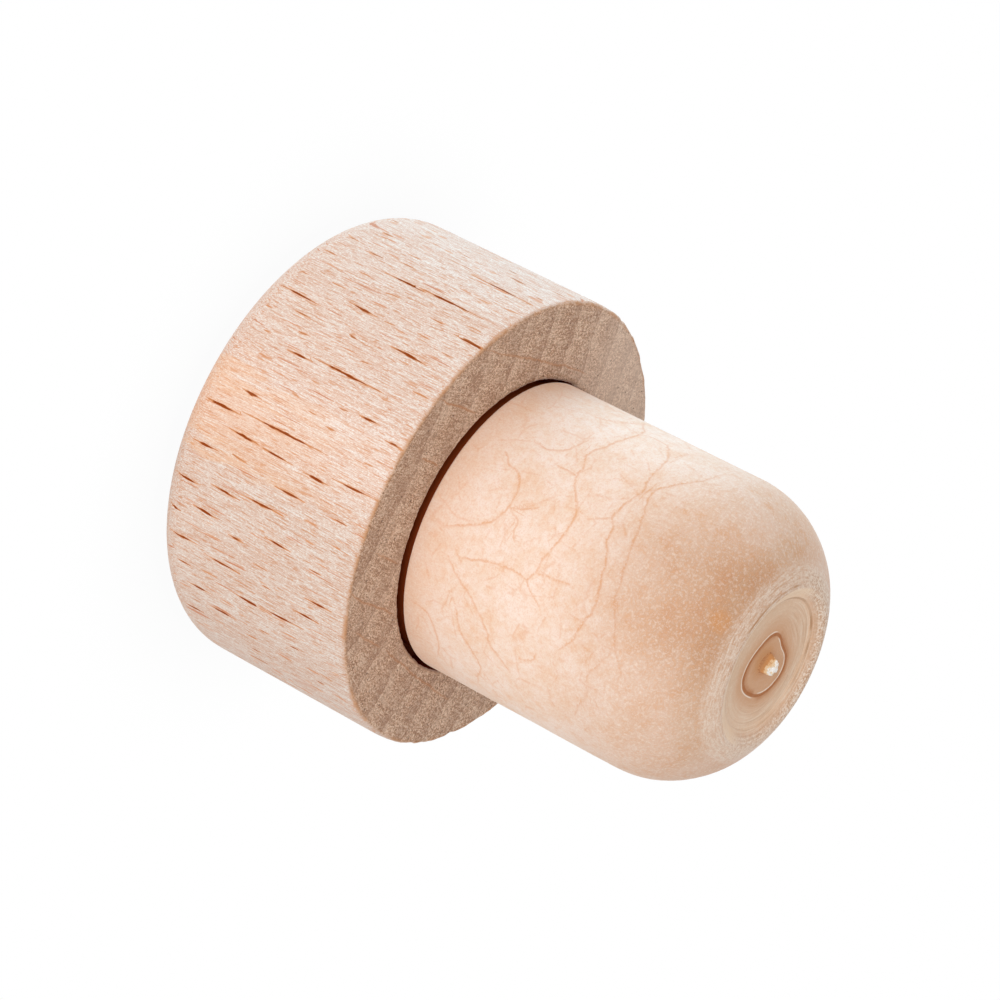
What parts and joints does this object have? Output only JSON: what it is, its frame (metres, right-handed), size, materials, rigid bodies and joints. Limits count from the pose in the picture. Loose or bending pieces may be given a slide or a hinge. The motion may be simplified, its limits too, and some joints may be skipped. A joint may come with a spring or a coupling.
{
  "type": "wooden bottle stopper",
  "caption": "Bottle stopper with a turned wooden head on a straight moulded plug, rounded at its recessed tip.",
  "frame": {"origin": "centre of the flat top of the wooden head, which is the face that it stands on", "axes": "+Z along the stopper's axis, from the head to the tip of the plug; +X and +Y lie in the head's top face, and -Y is the side that the picture shows most of"},
  "size_m": [0.03, 0.03, 0.0364],
  "materials": {
    "beech": "matte",
    "synthetic_cork": "satin",
    "glue": "satin"
  },
  "bodies": {
    "root": {"wooden_head": "beech", "synthetic_plug": "synthetic_cork", "glue_layer": "glue"}
  },
  "joints": []
}
